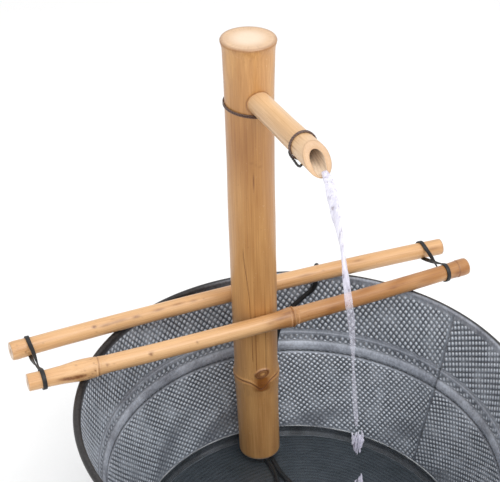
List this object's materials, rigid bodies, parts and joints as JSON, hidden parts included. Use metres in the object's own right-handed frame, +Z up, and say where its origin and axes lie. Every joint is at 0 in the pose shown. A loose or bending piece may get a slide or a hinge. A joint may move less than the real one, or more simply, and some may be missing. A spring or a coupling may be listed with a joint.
{
  "type": "tabletop water fountain",
  "caption": "Bamboo post and spout gripped by two bamboo canes across a round galvanised tub, with a small submersible pump and mains lead.",
  "frame": {"origin": "on the table, under the middle of the object without its cord", "axes": "+Z up; the spout points to -Y; the canes run along X"},
  "size_m": [0.4626, 0.4558, 0.4725],
  "materials": {
    "bamboo": "dried bamboo, satin skin with streaks",
    "pale_bamboo": "pale dried bamboo, satin",
    "zinc": "galvanised sheet, embossed",
    "rubber": "black rubber, matt",
    "lace": "dark brown waxed lace",
    "vinyl": "clear vinyl hose",
    "pump_plastic": "black moulded plastic",
    "epoxy": "potting resin",
    "copper": "enamelled copper winding",
    "magnet": "ferrite",
    "ceramic": "polished ceramic",
    "brass": "stamped brass",
    "cord_rubber": "black soft lead",
    "water": "clear water"
  },
  "bodies": {
    "tub": {"tub_wall": "zinc", "tub_floor": "zinc", "rim_wire": "zinc", "rear_pole": "bamboo", "front_pole": "bamboo", "left_band": "rubber", "right_band": "rubber", "power_cord": "cord_rubber", "cord_tail": "cord_rubber", "cord_coil": "cord_rubber", "plug_body": "cord_rubber", "plug_blade_left": "brass", "plug_blade_right": "brass"},
    "pump": {"pump_housing": "pump_plastic", "outlet_cap": "pump_plastic", "stator_coil": "copper", "epoxy_seal": "epoxy", "pump_shaft": "ceramic", "upper_shaft_seat": "rubber", "lower_shaft_seat": "rubber", "volute_cover": "pump_plastic", "intake_grille": "pump_plastic", "strain_relief": "cord_rubber"},
    "post": {"post": "bamboo", "spout": "pale_bamboo", "post_tie": "lace", "spout_tie": "lace", "hose": "vinyl"},
    "impeller": {"impeller": "pump_plastic", "rotor_magnet": "magnet"},
    "flow_dial": {"flow_dial": "pump_plastic"}
  },
  "joints": [
    {"name": "post_height", "type": "slide", "parent": "tub", "child": "pump", "axis": [-0.0251, 0.0026, 0.9997], "range_m": [0, 0.06]},
    {"name": "post_swivel", "type": "hinge", "parent": "pump", "child": "post", "pos_m": [0.00865, 0.1327, 0.015], "axis": [-0.0251, 0.0026, 0.9997], "range_deg": [-30, 30]},
    {"name": "impeller_spin", "type": "hinge", "parent": "pump", "child": "impeller", "pos_m": [0.00535, 0.12995, 0.03493], "axis": [-0.0251, 0.0026, 0.9997], "continuous": true},
    {"name": "flow_dial_turn", "type": "hinge", "parent": "pump", "child": "flow_dial", "pos_m": [0.00562, 0.12992, 0.02433], "axis": [-0.0251, 0.0026, 0.9997], "range_deg": [0, 50]}
  ]
}
